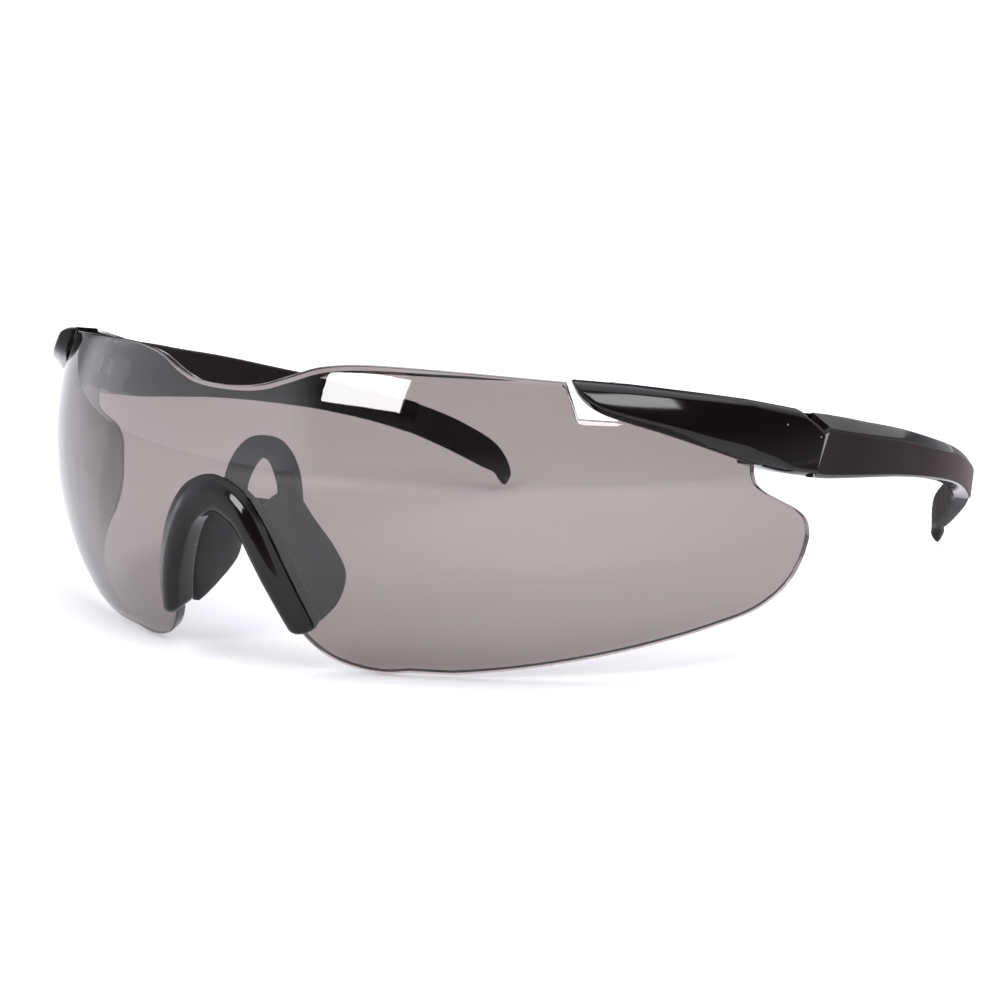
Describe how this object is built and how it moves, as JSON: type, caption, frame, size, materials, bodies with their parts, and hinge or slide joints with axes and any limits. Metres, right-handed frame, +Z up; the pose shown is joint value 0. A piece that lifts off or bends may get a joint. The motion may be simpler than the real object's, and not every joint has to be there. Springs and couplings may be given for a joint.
{
  "type": "safety glasses",
  "caption": "Rimless wraparound safety glasses: a curved lightly tinted visor lens, a clip-on nose bridge with a soft pad, and folding temples with rubber tips.",
  "frame": {"origin": "middle of the bounding box on the plane the glasses stand on, temples open", "axes": "+Z up, -Y towards the front of the lens, +X to the wearer's left"},
  "size_m": [0.1494, 0.1534, 0.0484],
  "materials": {
    "lens_tint": "polished moulded polycarbonate, light smoke grey",
    "gloss_black": "gloss black moulded nylon",
    "satin_black": "satin black moulded nylon",
    "soft_rubber": "matte soft thermoplastic rubber",
    "screw_steel": "small turned stainless screws"
  },
  "bodies": {
    "front": {"lens": "lens_tint", "nose_bridge": "gloss_black", "nose_pad": "soft_rubber", "left_endpiece": "gloss_black", "right_endpiece": "gloss_black", "left_lens_clamp": "satin_black", "right_lens_clamp": "satin_black", "clamp_screws": "screw_steel", "hinge_screws": "screw_steel"},
    "left_temple": {"left_temple": "gloss_black", "left_temple_tip": "soft_rubber"},
    "right_temple": {"right_temple": "gloss_black", "right_temple_tip": "soft_rubber"}
  },
  "joints": [
    {"name": "left_temple_fold", "type": "hinge", "parent": "front", "child": "left_temple", "pos_m": [0.0699, -0.01521, 0.0331], "axis": [0, 0.134, 0.991], "range_deg": [0, 90]},
    {"name": "right_temple_fold", "type": "hinge", "parent": "front", "child": "right_temple", "pos_m": [-0.0699, -0.01521, 0.0331], "axis": [0, -0.134, -0.991], "range_deg": [0, 80]}
  ]
}
